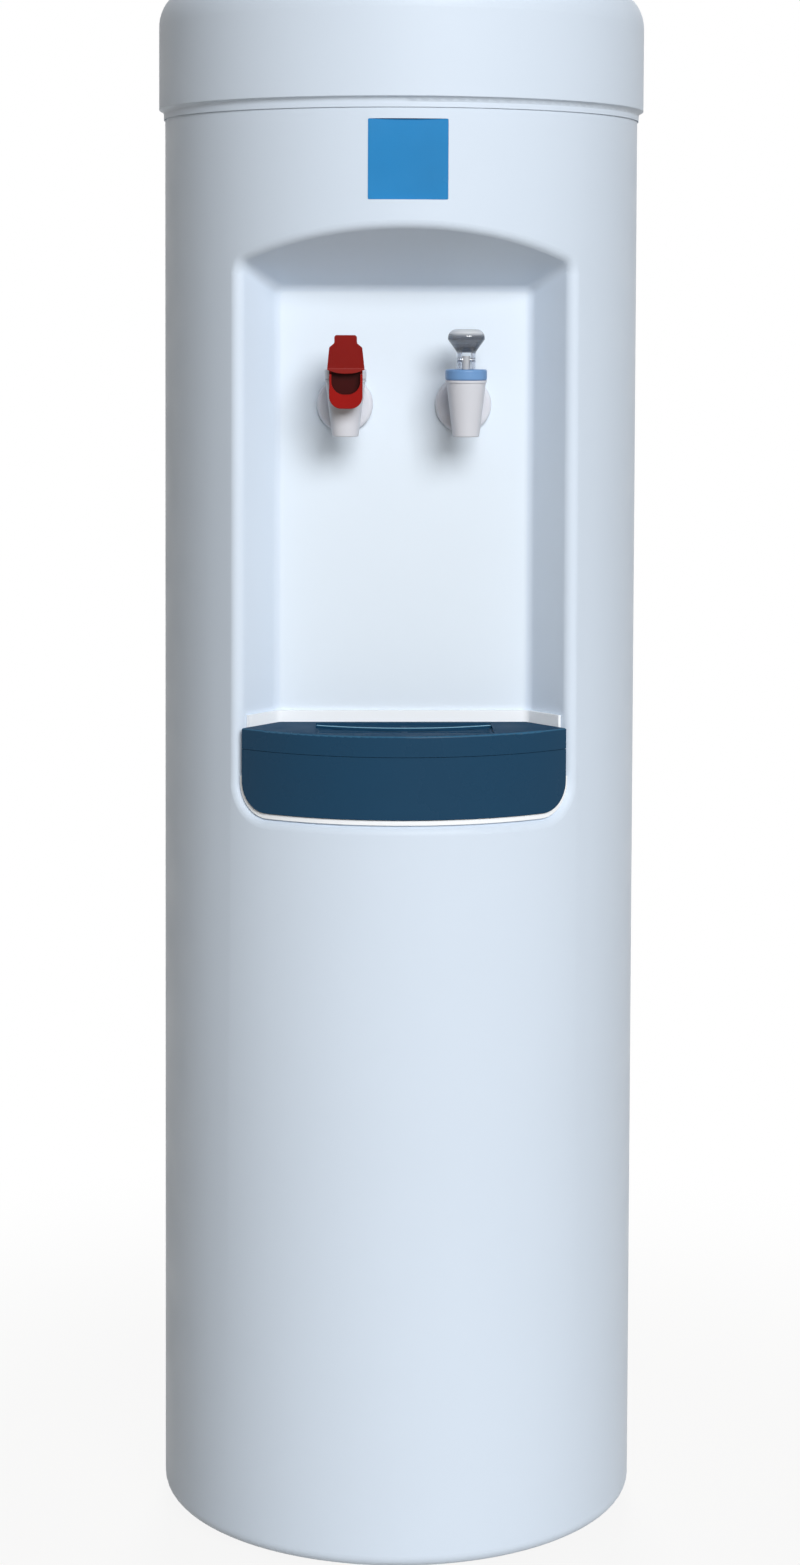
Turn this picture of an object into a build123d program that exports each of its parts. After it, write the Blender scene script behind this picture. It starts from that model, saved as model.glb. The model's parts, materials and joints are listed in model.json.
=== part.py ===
from build123d import *
import math
import os

# A floor-standing round water cooler with a hot and a cold tap.
# Millimetres. +Z is up, the front faces -Y, and the origin lies on the floor
# under the middle of the cabinet.

# Cabinet shell
total_height = 1000.0
body_diameter = 310.0
body_wall = 3.5
floor_gap = 6.0
base_edge_radius = 8.0
base_flange_width = 27.0
back_flat_width = 174.8
back_flange_width = 9.4
window_bottom_margin = 54.0
window_top_margin = 30.0
part_clearance = 0.3
seat_gap = 0.1
soft_edge = 1.0
cut_over = 1.0

# Top collar and bottle seat
collar_height = 80.0
collar_overhang = 4.0
collar_lap = 20.0
collar_cove_height = 6.5
collar_cove_drop = 1.0
collar_cove_radius = 3.2
collar_lip_round = 0.6
collar_foot_edge = 0.6
collar_edge_radius = 26.0
rim_flat = 2.0
rim_round = 5.0
rim_skirt_wall = 4.0
seat_depth = 28.0
seat_width = 8.0
seat_thickness = 3.0
funnel_wall = 3.0
neck_bore_radius = 32.0
neck_socket_length = 33.0
neck_passage_gap = 1.0
funnel_round = 2.0
funnel_seal_thickness = 2.0
funnel_seal_width = 8.0

# Badge under the collar
badge_size = 49.0
badge_thickness = 0.8
badge_corner_radius = 0.8
badge_drop = 38.0

# Dispensing recess
brow_height = 78.5
ceiling_rise = 37.0
recess_depth = 71.0
recess_back_width = 161.0
recess_front_width = 208.0
recess_corner_radius = 8.0
recess_ceiling_radius = 7.0
recess_foot_radius = 22.0
opening_edge_radius = 6.0

# Drip tray, its cover and the cradle that holds it
dispense_height = 202.0
tray_height = 52.0
tray_wall = 2.2
tray_clearance = 0.5
cover_height = 13.0
cover_wall = 2.2
cover_lap = 8.0
grille_width = 111.0
grille_length = 44.0
grille_back_margin = 7.0
grille_sink = 1.5
slot_width = 3.2
slot_pitch = 6.8
rib_setback = 35.0
rib_width = 2.2
tray_edge_round = 1.2
cradle_wall = 2.2
cradle_floor = 3.0
cradle_rim_height = 7.0
cradle_setback = 8.0
cradle_lip_setback = 1.5

# Taps
tap_spacing = 75.0
tap_drop = 74.0
tap_reach = 39.0
barrel_top_radius = 12.5
barrel_bottom_radius = 8.2
barrel_above = 16.2
barrel_below = 19.0
barrel_round = 1.0
barrel_flange = 1.4
chamber_radius = 6.2
seat_drop = 5.0
seat_thickness_below = 4.0
orifice_radius = 3.2
spout_bore_radius = 5.6
neck_radius = 7.5
shank_radius = 6.0
shank_length = 15.0
barb_radius = 4.0
barb_length = 8.0
water_bore_radius = 2.8
rosette_radius = 17.8
rosette_thickness = 4.5
rosette_round = 2.6
gasket_thickness = 1.0
gasket_width = 6.0
nut_thickness = 7.0
nut_radius = 11.5
bonnet_radius = 13.0
bonnet_height = 6.8
bonnet_spigot = 5.0
bonnet_round = 1.2

# Valve stems, levers and catch
stem_radius = 2.5
stem_flange_radius = 4.8
stem_flange_thickness = 1.5
stem_top_above_pin = 2.2
cup_radius = 5.2
cup_height = 6.2
cup_round = 1.0
spring_wire_radius = 0.5
spring_turns = 3.0
pin_radius = 1.25
pin_rise = 6.0
pin_fit = 0.08
lever_half_width = 5.8
fork_half_width = 2.9
fork_height = 10.4
lever_top = 25.0
lever_flare_radius = 11.5
lever_flare_start = 10.5
lever_flare_rise = 8.0
lever_foot_round = 0.6
lever_flare_round = 2.0
lever_shoulder_round = 1.2
lever_crown_round = 5.5
paddle_top = 21.0
paddle_lip_bottom = 2.5
paddle_tab_half_width = 7.0
paddle_tab_height = 5.0
paddle_shoulder_drop = 2.5
paddle_shoulder_half_width = 10.2
paddle_corner_round = 1.6
paddle_lip_half_width = 11.5
paddle_thickness = 3.4
paddle_lip_reach = 24.0
paddle_column_height = 16.4
paddle_set_forward = 1.0
catch_half_width = 10.3
catch_foot_drop = 24.0
catch_foot_radius = 7.6
catch_depth = 8.0
catch_wall = 1.4
catch_mouth_drop = 15.3
catch_mouth_radius = 8.0
catch_edge_round = 0.5
catch_travel = 2.5
catch_rest_gap = 0.5
catch_pin_rise = 7.2
catch_pin_radius = 2.5
catch_pin_engage = 1.6

# Cold tank, its jacket and the evaporator
shelf_rise = 10.0
shelf_thickness = 2.0
shelf_flange = 15.0
shelf_front_gap = 20.0
pass_gap = 1.0
hose_pass_gap = 3.0
jacket_thickness = 15.0
jacket_floor = 13.0
jacket_clearance = 0.5
coil_tube_radius = 4.0
coil_pitch = 16.0
coil_gap = 0.3
tank_wall = 1.0
tank_rim_width = 12.0
tank_rim_thickness = 2.0
lid_drop = 8.0
lid_thickness = 4.0
baffle_thickness = 2.5
baffle_share_height = 74.0
baffle_pipe_radius = 6.0
hose_radius = 6.0
hose_bore_radius = 4.1
hose_bend_radius = 14.0
cold_port_y = -30.0
feed_port_x = -10.0
feed_port_behind = 30.0

# Hot tank and its fittings
hot_tank_x = -20.0
hot_tank_rear_gap = 32.2
hot_tank_radius = 48.0
hot_tank_height = 120.0
hot_tank_drop = 29.0
hot_jacket_thickness = 14.0
hot_jacket_ledge = 5.0
hot_jacket_foot = 22.0
hot_port_ahead = 18.0
heater_radius = 22.0
heater_thickness = 6.0
heater_stud_radius = 2.5
heater_stud_length = 9.0
heater_stud_spacing = 18.0
thermostat_disc_radius = 8.0
thermostat_disc_height = 9.0
drain_x = 8.0
drain_behind = 18.0
drain_drop = 26.0
drain_radius = 5.0
drain_bore_radius = 3.4
drain_bend_radius = 15.0
drain_stub = 9.0
drain_flange_radius = 10.0
drain_flange_thickness = 2.0
drain_cap_radius = 8.5
drain_cap_length = 12.0

# Compressor and refrigerant circuit
base_plate_thickness = 2.0
foot_radius = 13.0
foot_taper = 1.5
foot_margin = 6.0
foot_angle = 43.0
compressor_y = 15.0
compressor_radius = 62.0
compressor_height = 135.0
compressor_wall = 14.0
compressor_top_radius = 38.0
compressor_bottom_radius = 15.0
compressor_seam_width = 2.5
compressor_seam_height = 5.0
compressor_plate_thickness = 2.5
compressor_plate_x = 68.0
compressor_plate_y = 48.0
compressor_bolt_x = 56.0
compressor_bolt_y = 38.0
grommet_radius = 9.0
grommet_height = 8.5
bolt_radius = 3.0
bolt_head_radius = 5.5
bolt_head_height = 4.5
bolt_clearance = 0.2
relay_width = 26.0
relay_depth = 44.0
relay_height = 54.0
relay_rise = 42.0
relay_corner_radius = 3.0
line_radius = 3.2
line_bend_radius = 12.0
stub_radius = 4.6
stub_rise = 14.0
discharge_stub = (38.0, 24.0)
suction_stub = (0.0, 36.0)
condenser_bottom = 120.0
condenser_below_drain = 24.0
condenser_half_width = 62.0
condenser_runs = 8
condenser_standoff = 5.0
condenser_tube_radius = 2.5
condenser_end_bend = 8.0
condenser_u_bend = 0.45
condenser_inside_gap = 12.5
wire_radius = 0.8
wire_pitch = 8.0
wire_overrun = 6.0
bracket_height = 10.0
bracket_half_width = 50.0
drier_radius = 9.0
drier_length = 100.0
drier_rise = 30.0
drier_cone = 14.0
capillary_radius = 1.2
capillary_bend_radius = 4.0
suction_angle = 60.0

# Back panel and what it carries
panel_thickness = 1.2
panel_margin = 2.0
panel_bottom = 18.0
panel_screw_rows = 5
screw_radius = 2.0
screw_head_radius = 4.0
screw_head_height = 2.2
screw_drive_span = 4.6
screw_drive_width = 0.9
screw_drive_depth = 1.0
screw_clearance = 0.1
louvre_width = 92.0
louvre_height = 5.0
louvre_pitch = 13.0
louvre_rows = 6
base_screw_count = 6
base_screw_radius_inset = 14.0
switch_rise = 78.0
switch_width = 22.0
switch_height = 34.0
switch_body_depth = 20.0
switch_bezel = 2.0
switch_wall = 4.0
rocker_gap = 0.3
rocker_end_gap = 1.3
rocker_depth = 8.0
rocker_pivot_radius = 1.5
rocker_pivot_length = 1.8
control_x = 34.0
control_rise = 138.0
control_body_radius = 14.0
control_body_depth = 20.0
control_shaft_radius = 3.0
control_shaft_length = 15.0
knob_radius = 13.0
knob_height = 11.0
knob_standoff = 2.0
knob_flute_radius = 2.4
knob_pointer_width = 2.4
knob_pointer_height = 0.8
knob_flute_count = 12
gland_x = 55.0
gland_z = 70.0
gland_radius = 6.5
gland_flange_radius = 9.5
gland_flange_thickness = 3.0
gland_inside_length = 8.0
gland_bore_radius = 3.6

# Cabinet lines worked out from the sizes above
body_radius = body_diameter / 2
inner_radius = body_radius - body_wall
back_y = math.sqrt(body_radius**2 - (back_flat_width / 2) ** 2)
back_inner_y = back_y - body_wall
window_half = back_flat_width / 2 - back_flange_width
collar_bottom = total_height - collar_height
shell_top = collar_bottom + collar_lap
window_bottom = floor_gap + window_bottom_margin
window_top = collar_bottom - window_top_margin

collar_radius = body_radius + collar_overhang
collar_wall = collar_overhang + body_wall
rim_radius = collar_radius - collar_edge_radius - rim_flat - rim_round
seat_z = total_height - seat_depth

recess_back_y = -(body_radius - recess_depth)
recess_front_y = -math.sqrt(body_radius**2 - (recess_front_width / 2) ** 2)
recess_inner_y = recess_back_y + body_wall
badge_front_y = -math.sqrt(body_radius**2 - (badge_size / 2) ** 2)
ceiling_front = collar_bottom - brow_height
ceiling_back = ceiling_front - ceiling_rise
ceiling_slope = ceiling_rise / recess_depth

tap_z = ceiling_back - tap_drop
tap_y = recess_back_y - tap_reach
tap_x = tap_spacing / 2
barrel_top = tap_z + barrel_above
bonnet_top = barrel_top + bonnet_height
valve_seat_z = tap_z - seat_drop
pin_z = bonnet_top + pin_rise
shank_end_y = recess_back_y + shank_length + body_wall
shank_start_y = recess_back_y - gasket_thickness
catch_inner_y = tap_y - bonnet_radius - catch_rest_gap - catch_travel
catch_socket_depth = catch_pin_engage + catch_travel + part_clearance
catch_top = bonnet_top - paddle_lip_bottom - part_clearance
catch_foot = bonnet_top - catch_foot_drop
catch_pin_z = catch_foot + catch_pin_rise

tray_top = tap_z - dispense_height
tray_seam = tray_top - cover_height
tray_bottom = tray_top - tray_height
cradle_floor_top = tray_bottom - tray_clearance
cradle_bottom = cradle_floor_top - cradle_floor
recess_bottom = cradle_bottom - part_clearance
cradle_rim = tray_top + cradle_rim_height
cradle_offset = part_clearance + cradle_wall
tray_offset = cradle_offset + tray_clearance

# Inner lines: tanks, shelves and base
jacket_radius = (back_inner_y - recess_inner_y) / 2 - jacket_clearance
tank_y = (back_inner_y + recess_inner_y) / 2
jacket_inner_radius = jacket_radius - jacket_thickness
coil_radius = jacket_inner_radius - coil_gap - coil_tube_radius
tank_radius = coil_radius - coil_tube_radius - coil_gap
shelf_top = tap_z + shelf_rise
shelf_half_width = math.sqrt(inner_radius**2 - back_inner_y**2) - 2 * part_clearance
tank_bottom = shelf_top + jacket_floor
lid_top = collar_bottom - lid_drop
tank_top = lid_top - lid_thickness
tank_rim_bottom = tank_top - tank_rim_thickness
neck_socket_bottom = lid_top + funnel_seal_thickness + part_clearance
cone_bottom = neck_socket_bottom + neck_socket_length - funnel_wall
coil_bottom = tank_bottom + coil_tube_radius + coil_pitch / 2
coil_top = tank_rim_bottom - coil_tube_radius - coil_pitch / 2

hot_jacket_radius = hot_tank_radius + part_clearance + hot_jacket_thickness
hot_tank_y = back_inner_y - hot_tank_rear_gap - hot_jacket_radius
hot_port_y = hot_tank_y - hot_port_ahead
feed_port_y = hot_tank_y + feed_port_behind
drain_y = hot_tank_y + drain_behind
hot_tank_top = tap_z - hot_tank_drop
hot_tank_bottom = hot_tank_top - hot_tank_height
hot_shelf_top = hot_tank_bottom - hot_jacket_foot
drain_z = hot_shelf_top - drain_drop

plate_z = floor_gap + body_wall
plate_top = plate_z + base_plate_thickness
foot_ring = body_radius - base_flange_width - foot_margin - foot_radius
foot_x = foot_ring * math.cos(math.radians(foot_angle))
foot_y = foot_ring * math.sin(math.radians(foot_angle))
compressor_plate_z = plate_top + grommet_height
compressor_z = compressor_plate_z + compressor_plate_thickness
compressor_top = compressor_z + compressor_height
stub_top = compressor_top + stub_rise

panel_outer_y = back_y + panel_thickness
condenser_y = panel_outer_y + condenser_standoff + condenser_tube_radius
condenser_inside_y = back_inner_y - condenser_inside_gap
condenser_top = drain_z - condenser_below_drain
condenser_step = (condenser_top - condenser_bottom) / condenser_runs
drier_bottom = condenser_bottom + drier_rise
drier_top = drier_bottom + drier_length

# Where the capillary meets the top of the evaporator and the suction line leaves its bottom
capillary_angle = math.degrees(math.atan2(condenser_inside_y - tank_y, -condenser_half_width))
suction_x = coil_radius * math.cos(math.radians(suction_angle))
suction_y = tank_y + coil_radius * math.sin(math.radians(suction_angle))

switch_z = hot_shelf_top + switch_rise
control_z = hot_shelf_top + control_rise
rocker_pivot_y = back_y - rocker_depth / 4

ON_BASE = (Align.CENTER, Align.CENTER, Align.MIN)


def post(x, y, z, radius, height):
    """Upright cylinder standing on z."""
    return Pos(x, y, z) * Cylinder(radius, height, align=ON_BASE)


def ring(x, y, z, outer, inner, height):
    """Upright tube standing on z."""
    return post(x, y, z, outer, height) - post(x, y, z, inner, height)


def rod(x, y, z, radius, length):
    """Cylinder along +Y from y."""
    return Pos(x, y, z) * Rot(X=-90) * Cylinder(radius, length, align=ON_BASE)


def block(x0, x1, y0, y1, z0, z1):
    """Box between two corners."""
    return Pos((x0 + x1) / 2, (y0 + y1) / 2, (z0 + z1) / 2) * Box(x1 - x0, y1 - y0, z1 - z0)


def outline(points, radii=None):
    """Closed face, with one corner radius for each point where radii are given."""
    if radii:
        return make_face(FilletPolyline(*points, radius=radii, close=True))
    return make_face(Polyline(*points, close=True))


def turned(points, radii=None, x=0.0, y=0.0):
    """Solid of revolution from a (radius, height) outline about a vertical axis."""
    return Pos(x, y, 0) * revolve(Plane.XZ * outline(points, radii), Axis.Z)


def tube(points, radius, bend, bore=0.0):
    """Round tube along straight runs joined by tangent arcs."""
    path = FilletPolyline(*points, radius=bend) if len(points) > 2 else Line(*points)
    section = Circle(radius) - Circle(bore) if bore else Circle(radius)
    return sweep(Plane(origin=path @ 0, z_dir=path % 0) * section, path=path)


def coil(radius, pitch, height, wire_radius, start_angle=0.0):
    """Helical coil standing on z = 0."""
    path = Helix(pitch, height, radius)
    section = Plane(origin=path @ 0, z_dir=path % 0) * Circle(wire_radius)
    return Rot(Z=start_angle) * sweep(section, path=path, is_frenet=True)


def behind(y):
    """Everything behind a plane across the cabinet."""
    return block(-body_diameter, body_diameter, y, y + body_diameter, -total_height, 2 * total_height)


def recess_plan(grow):
    """Plan of the recess, grown by a wall, running out past the front."""
    flare = (recess_front_width - recess_back_width) / 2 / (recess_back_y - recess_front_y)
    ahead_y = -(body_radius + recess_depth)
    back_half = recess_back_width / 2
    ahead_half = back_half + flare * (recess_back_y - ahead_y)
    right = [(back_half, recess_back_y), (ahead_half, ahead_y)]
    left = [(-ahead_half, ahead_y), (-back_half, recess_back_y)]
    plan = outline(left + right)
    if grow:
        plan = offset(plan, grow, kind=Kind.INTERSECTION)
    back_corners = plan.vertices().group_by(Axis.Y)[-1]
    return fillet(back_corners, recess_corner_radius + grow)


def recess_block(grow, bottom, top):
    """Upright block on the recess plan with its two side foot edges rounded."""
    solid = extrude(Plane.XY.offset(bottom) * recess_plan(grow), amount=top - bottom)
    foot_lines = solid.edges().group_by(Axis.Z)[0].filter_by(GeomType.LINE)
    sides = [e for e in foot_lines if abs((e % 0.5).Y) > abs((e % 0.5).X) / 2]
    return fillet(sides, recess_foot_radius + grow)


def recess(grow):
    """The dispensing recess: block under a ceiling that rises to the front, rounded round its rim."""
    block_top = total_height
    ahead_y = -(body_radius + 2 * recess_depth)
    drop = grow * math.sqrt(1 + ceiling_slope**2)
    back = recess_back_y + grow
    back_z = ceiling_back + drop - ceiling_slope * grow
    ahead_z = ceiling_back + drop + ceiling_slope * (recess_back_y - ahead_y)
    profile = outline([(ahead_y, 0), (back, 0), (back, back_z), (ahead_y, ahead_z)])
    under_ceiling = extrude(Plane.YZ * profile, amount=body_diameter, both=True)
    space = recess_block(grow, recess_bottom - grow, block_top) & under_ceiling
    rim = space.faces().sort_by(Axis.Z)[-1].edges().sort_by(Axis.Y)[1:]
    return fillet(rim, recess_ceiling_radius + grow)


def on_recess_mouth(edge):
    """Whether an edge lies where the recess meets the round of the cabinet."""
    middle = edge @ 0.5
    box = edge.bounding_box()
    on_round = math.isclose(math.hypot(middle.X, middle.Y), body_radius, abs_tol=part_clearance / 5)
    in_height = box.min.Z > recess_bottom - cut_over and box.max.Z < shell_top - cut_over
    return on_round and in_height and middle.Y < recess_front_y / 2


def front_shell():
    """Round cabinet with the recess moulded in, a flat back and an inward base flange."""
    outer = post(0, 0, floor_gap, body_radius, shell_top - floor_gap)
    outer = fillet(outer.edges().group_by(Axis.Z)[0], base_edge_radius)
    outer -= behind(back_y)
    outer -= recess(0)
    outer = fillet([e for e in outer.edges() if on_recess_mouth(e)], opening_edge_radius)
    hollow = post(0, 0, plate_z, inner_radius, total_height) - behind(back_inner_y)
    hollow -= recess(body_wall)
    base_hole = post(0, 0, 0, body_radius - base_flange_width, total_height)
    base_hole -= behind(back_inner_y - back_flange_width)
    base_hole &= post(0, 0, 0, body_radius, plate_top)
    shell = outer - hollow - base_hole
    shell -= badge_block(seat_gap, badge_front_y + badge_thickness + seat_gap, -collar_radius)
    through = body_wall + 2 * cut_over
    behind_wall = back_inner_y - cut_over
    shell -= block(-window_half, window_half, behind_wall, behind_wall + through, window_bottom, window_top)
    for x in (-tap_x, tap_x):
        shell -= rod(x, recess_back_y - cut_over, tap_z, shank_radius + part_clearance, through)
    for x, z in panel_screw_places():
        shell -= rod(x, behind_wall, z, screw_radius + screw_clearance, through)
    for x, y in base_screw_places():
        shell -= post(x, y, 0, screw_radius + screw_clearance, plate_top)
    return shell


def top_collar():
    """Ring that caps the cabinet, rounded over the top, with a cove under its lip and a funnel seat."""
    inner_top = total_height - collar_wall
    skirt_radius = rim_radius + rim_skirt_wall
    skirt_bottom = seat_z - seat_thickness
    stop_radius = inner_radius
    lap_radius = body_radius + part_clearance
    foot_radius = lap_radius + collar_foot_edge
    collar_foot = collar_bottom - collar_cove_height
    corners = [
        (lap_radius, collar_foot),
        (foot_radius, collar_foot),
        (foot_radius, collar_bottom - collar_cove_drop),
        (collar_radius, collar_bottom),
        (collar_radius, total_height),
        (rim_radius, total_height),
        (rim_radius, seat_z),
        (rim_radius - seat_width, seat_z),
        (rim_radius - seat_width, skirt_bottom),
        (skirt_radius, skirt_bottom),
        (skirt_radius, inner_top),
        (stop_radius, inner_top),
        (stop_radius, shell_top),
        (lap_radius, shell_top),
    ]
    radii = [0] * len(corners)
    radii[2] = collar_cove_radius
    radii[3] = collar_lip_round
    radii[4] = collar_edge_radius
    radii[5] = rim_round
    radii[11] = collar_edge_radius - collar_wall
    return turned(corners, radii)


def bottle_funnel():
    """Cone that takes the bottle's shoulder, with the socket for its neck."""
    edge = rim_radius - part_clearance
    shoulder = rim_radius - seat_width - part_clearance
    outer_neck = neck_bore_radius + funnel_wall
    corners = [
        (edge, seat_z),
        (edge, seat_z + funnel_wall),
        (shoulder, seat_z + funnel_wall),
        (neck_bore_radius, cone_bottom + funnel_wall),
        (neck_bore_radius, neck_socket_bottom),
        (outer_neck, neck_socket_bottom),
        (outer_neck, cone_bottom),
        (shoulder, seat_z),
    ]
    return turned(corners, [0, soft_edge, funnel_round, funnel_round, 0, 0, funnel_round, 0])


def funnel_seal():
    """Soft ring under the neck socket."""
    inner = neck_bore_radius + neck_passage_gap
    return ring(0, 0, lid_top, inner + funnel_seal_width, inner, funnel_seal_thickness)


def badge_block(grow, back_y, front_y):
    """Square block on the place of the badge, grown sideways by a gap."""
    size = badge_size + 2 * grow
    face = Pos(0, collar_bottom - badge_drop) * RectangleRounded(size, size, badge_corner_radius + grow)
    return extrude(Plane.XZ.offset(-back_y) * face, amount=back_y - front_y)


def badge_plate():
    """Flat square plate let into the round of the cabinet, flush at its sides."""
    return badge_block(0, badge_front_y + badge_thickness, badge_front_y)


def tray_cradle():
    """Liner in the foot of the recess: a rim shows over the tray and a lip runs out under it."""
    outer = recess_block(-part_clearance, cradle_bottom, cradle_rim)
    pocket = recess_block(-cradle_offset, cradle_floor_top, total_height)
    reach = post(0, 0, 0, body_radius - cradle_setback, total_height)
    reach += post(0, 0, 0, body_radius - cradle_lip_setback, cradle_floor_top + recess_foot_radius)
    return (outer - pocket) & reach


def tray_block(inset, bottom, top):
    """Block on the tray plan, flush with the round of the cabinet when inset is 0."""
    plan = recess_block(-tray_offset - inset, bottom, top)
    return plan & post(0, 0, 0, body_radius - inset, total_height)


def tray_column(inset, bottom, top):
    """Block on the tray plan with square foot edges."""
    plan = extrude(Plane.XY.offset(bottom) * recess_plan(-tray_offset - inset), amount=top - bottom)
    return plan & post(0, 0, 0, body_radius - inset, total_height)


def drip_basin():
    """Deep tray with an upstand inside the cover's skirt."""
    lip_inset = cover_wall + part_clearance
    basin = tray_block(0, tray_bottom, tray_seam - part_clearance)
    basin += tray_column(lip_inset, tray_seam - cover_wall, tray_seam + cover_lap)
    well = tray_block(lip_inset + tray_wall, tray_bottom + tray_wall, tray_seam + 2 * cover_lap)
    return basin - well


def drip_grille():
    """Cover with a sunk, slotted field under the spouts and a bowed rib across it."""
    cover = tray_column(0, tray_seam, tray_top)
    cover = fillet(cover.faces().sort_by(Axis.Z)[-1].edges(), tray_edge_round)
    cover -= tray_column(cover_wall, tray_seam - cut_over, tray_top - grille_sink - cover_wall)
    field_back = recess_back_y - tray_offset - grille_back_margin
    field_front = field_back - grille_length
    half = grille_width / 2
    floor = tray_top - grille_sink
    cover -= block(-half, half, field_front, field_back, floor, tray_top + cut_over)
    rows = int(grille_length / slot_pitch)
    first_row = (field_front + field_back - (rows - 1) * slot_pitch) / 2
    slot = SlotOverall(half - slot_width, slot_width)
    for row in range(rows):
        for x in (-half / 2, half / 2):
            place = Pos(x, first_row + row * slot_pitch, tray_seam)
            cover -= extrude(place * slot, amount=cover_height)
    rib_front = body_radius - rib_setback
    rib = ring(0, 0, floor, rib_front, rib_front - rib_width, grille_sink)
    return cover + (rib & block(-half, half, field_front, field_back, floor, tray_top))


def faucet_body(x):
    """Tap: tapered, flanged barrel with a valve chamber and spout, a neck, a shank and a hose barb."""
    bottom = tap_z - barrel_below
    corners = [(0, bottom), (barrel_bottom_radius, bottom), (barrel_top_radius, barrel_top), (0, barrel_top)]
    body = turned(corners, [0, barrel_round, barrel_round, 0], x, tap_y)
    body += post(x, tap_y, barrel_top - barrel_flange, bonnet_radius, barrel_flange)
    body += rod(x, tap_y, tap_z, neck_radius, shank_start_y - tap_y)
    body += rod(x, shank_start_y, tap_z, shank_radius, shank_end_y - shank_start_y)
    body += rod(x, shank_end_y, tap_z, barb_radius, barb_length)
    body -= rod(x, tap_y, tap_z, water_bore_radius, shank_end_y + barb_length - tap_y)
    body -= post(x, tap_y, valve_seat_z, chamber_radius, barrel_top - valve_seat_z)
    body -= post(x, tap_y, bottom, orifice_radius, barrel_below)
    body -= post(x, tap_y, bottom, spout_bore_radius, valve_seat_z - seat_thickness_below - bottom)
    return body


def barrel_radius_at(z):
    """Radius of the barrel at a height."""
    share = (z - tap_z + barrel_below) / (barrel_below + barrel_above)
    return barrel_bottom_radius + share * (barrel_top_radius - barrel_bottom_radius)


def hot_faucet_body():
    """Hot tap body, with the socket that guides the catch."""
    front = tap_y - barrel_radius_at(catch_pin_z) - cut_over
    depth = catch_socket_depth + cut_over
    return faucet_body(-tap_x) - rod(-tap_x, front, catch_pin_z, catch_pin_radius + pin_fit, depth)


def bonnet(x):
    """Ring screwed on the barrel, with the hole that guides the stem."""
    cap = post(x, tap_y, barrel_top, bonnet_radius, bonnet_height)
    cap = fillet(cap.edges().filter_by(GeomType.CIRCLE), bonnet_round)
    cap += post(x, tap_y, barrel_top - bonnet_spigot, chamber_radius - part_clearance / 2, bonnet_spigot)
    return cap - post(x, tap_y, barrel_top - bonnet_spigot, stem_radius + part_clearance, 2 * bonnet_height)


def valve_stem(x):
    """Rod from the plug on the valve seat up into the lever's fork."""
    seat = valve_seat_z + part_clearance
    flange = seat + cup_height
    plug = post(x, tap_y, seat, cup_radius, cup_height)
    plug = fillet(plug.edges().group_by(Axis.Z)[0], cup_round)
    stem = plug + post(x, tap_y, flange, stem_radius, pin_z + stem_top_above_pin - flange)
    stem += post(x, tap_y, flange, stem_flange_radius, stem_flange_thickness)
    return stem - Pos(x, tap_y, pin_z) * Rot(Y=90) * Cylinder(pin_radius, 2 * lever_half_width)


def valve_spring(x):
    """Coil between the stem's flange and the bonnet's spigot."""
    bottom = valve_seat_z + part_clearance + cup_height + stem_flange_thickness
    top = barrel_top - bonnet_spigot
    room = top - bottom - 2 * spring_wire_radius - part_clearance
    radius = chamber_radius - part_clearance - 2 * spring_wire_radius
    turns = coil(radius, room / spring_turns, room, spring_wire_radius)
    return Pos(x, tap_y, bottom + spring_wire_radius + part_clearance / 2) * turns


def lever_pin(x):
    """Cross pin through the stem and both cheeks of the lever."""
    return Pos(x, tap_y, pin_z) * Rot(Y=90) * Cylinder(pin_radius, 2 * lever_half_width - pin_radius)


def fork_cut(x):
    """Slot for the stem and hole for the pin, cut out of a lever."""
    reach = lever_half_width + cut_over
    slot = block(x - fork_half_width, x + fork_half_width, tap_y - reach, tap_y + reach,
                 bonnet_top, bonnet_top + fork_height)
    return slot + Pos(x, tap_y, pin_z) * Rot(Y=90) * Cylinder(pin_radius + pin_fit, 3 * lever_half_width)


def cold_lever():
    """Clear lever: a forked column under a flared, round-topped button."""
    base = bonnet_top + part_clearance
    flare = bonnet_top + lever_flare_start
    top = bonnet_top + lever_top
    corners = [
        (0, base),
        (lever_half_width, base),
        (lever_half_width, flare),
        (lever_flare_radius, flare + lever_flare_rise),
        (lever_flare_radius, top),
        (0, top),
    ]
    rounds = [0, lever_foot_round, lever_flare_round, lever_shoulder_round, lever_crown_round, 0]
    lever = turned(corners, rounds, tap_x, tap_y)
    return lever - fork_cut(tap_x)


def paddle_outline():
    """Front view of the red paddle: a narrow tab, shoulders and a bowed lip."""
    top = bonnet_top + paddle_top
    neck = top - paddle_tab_height
    half = [
        (paddle_tab_half_width, top),
        (paddle_tab_half_width, neck),
        (paddle_shoulder_half_width, neck - paddle_shoulder_drop),
        (paddle_lip_half_width, bonnet_top),
    ]
    edges = FilletPolyline([(-x, z) for x, z in reversed(half)] + half, radius=paddle_corner_round)
    bow = ThreePointArc(half[-1], (0, bonnet_top - paddle_lip_bottom), (-paddle_lip_half_width, bonnet_top))
    return make_face([edges, bow])


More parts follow.
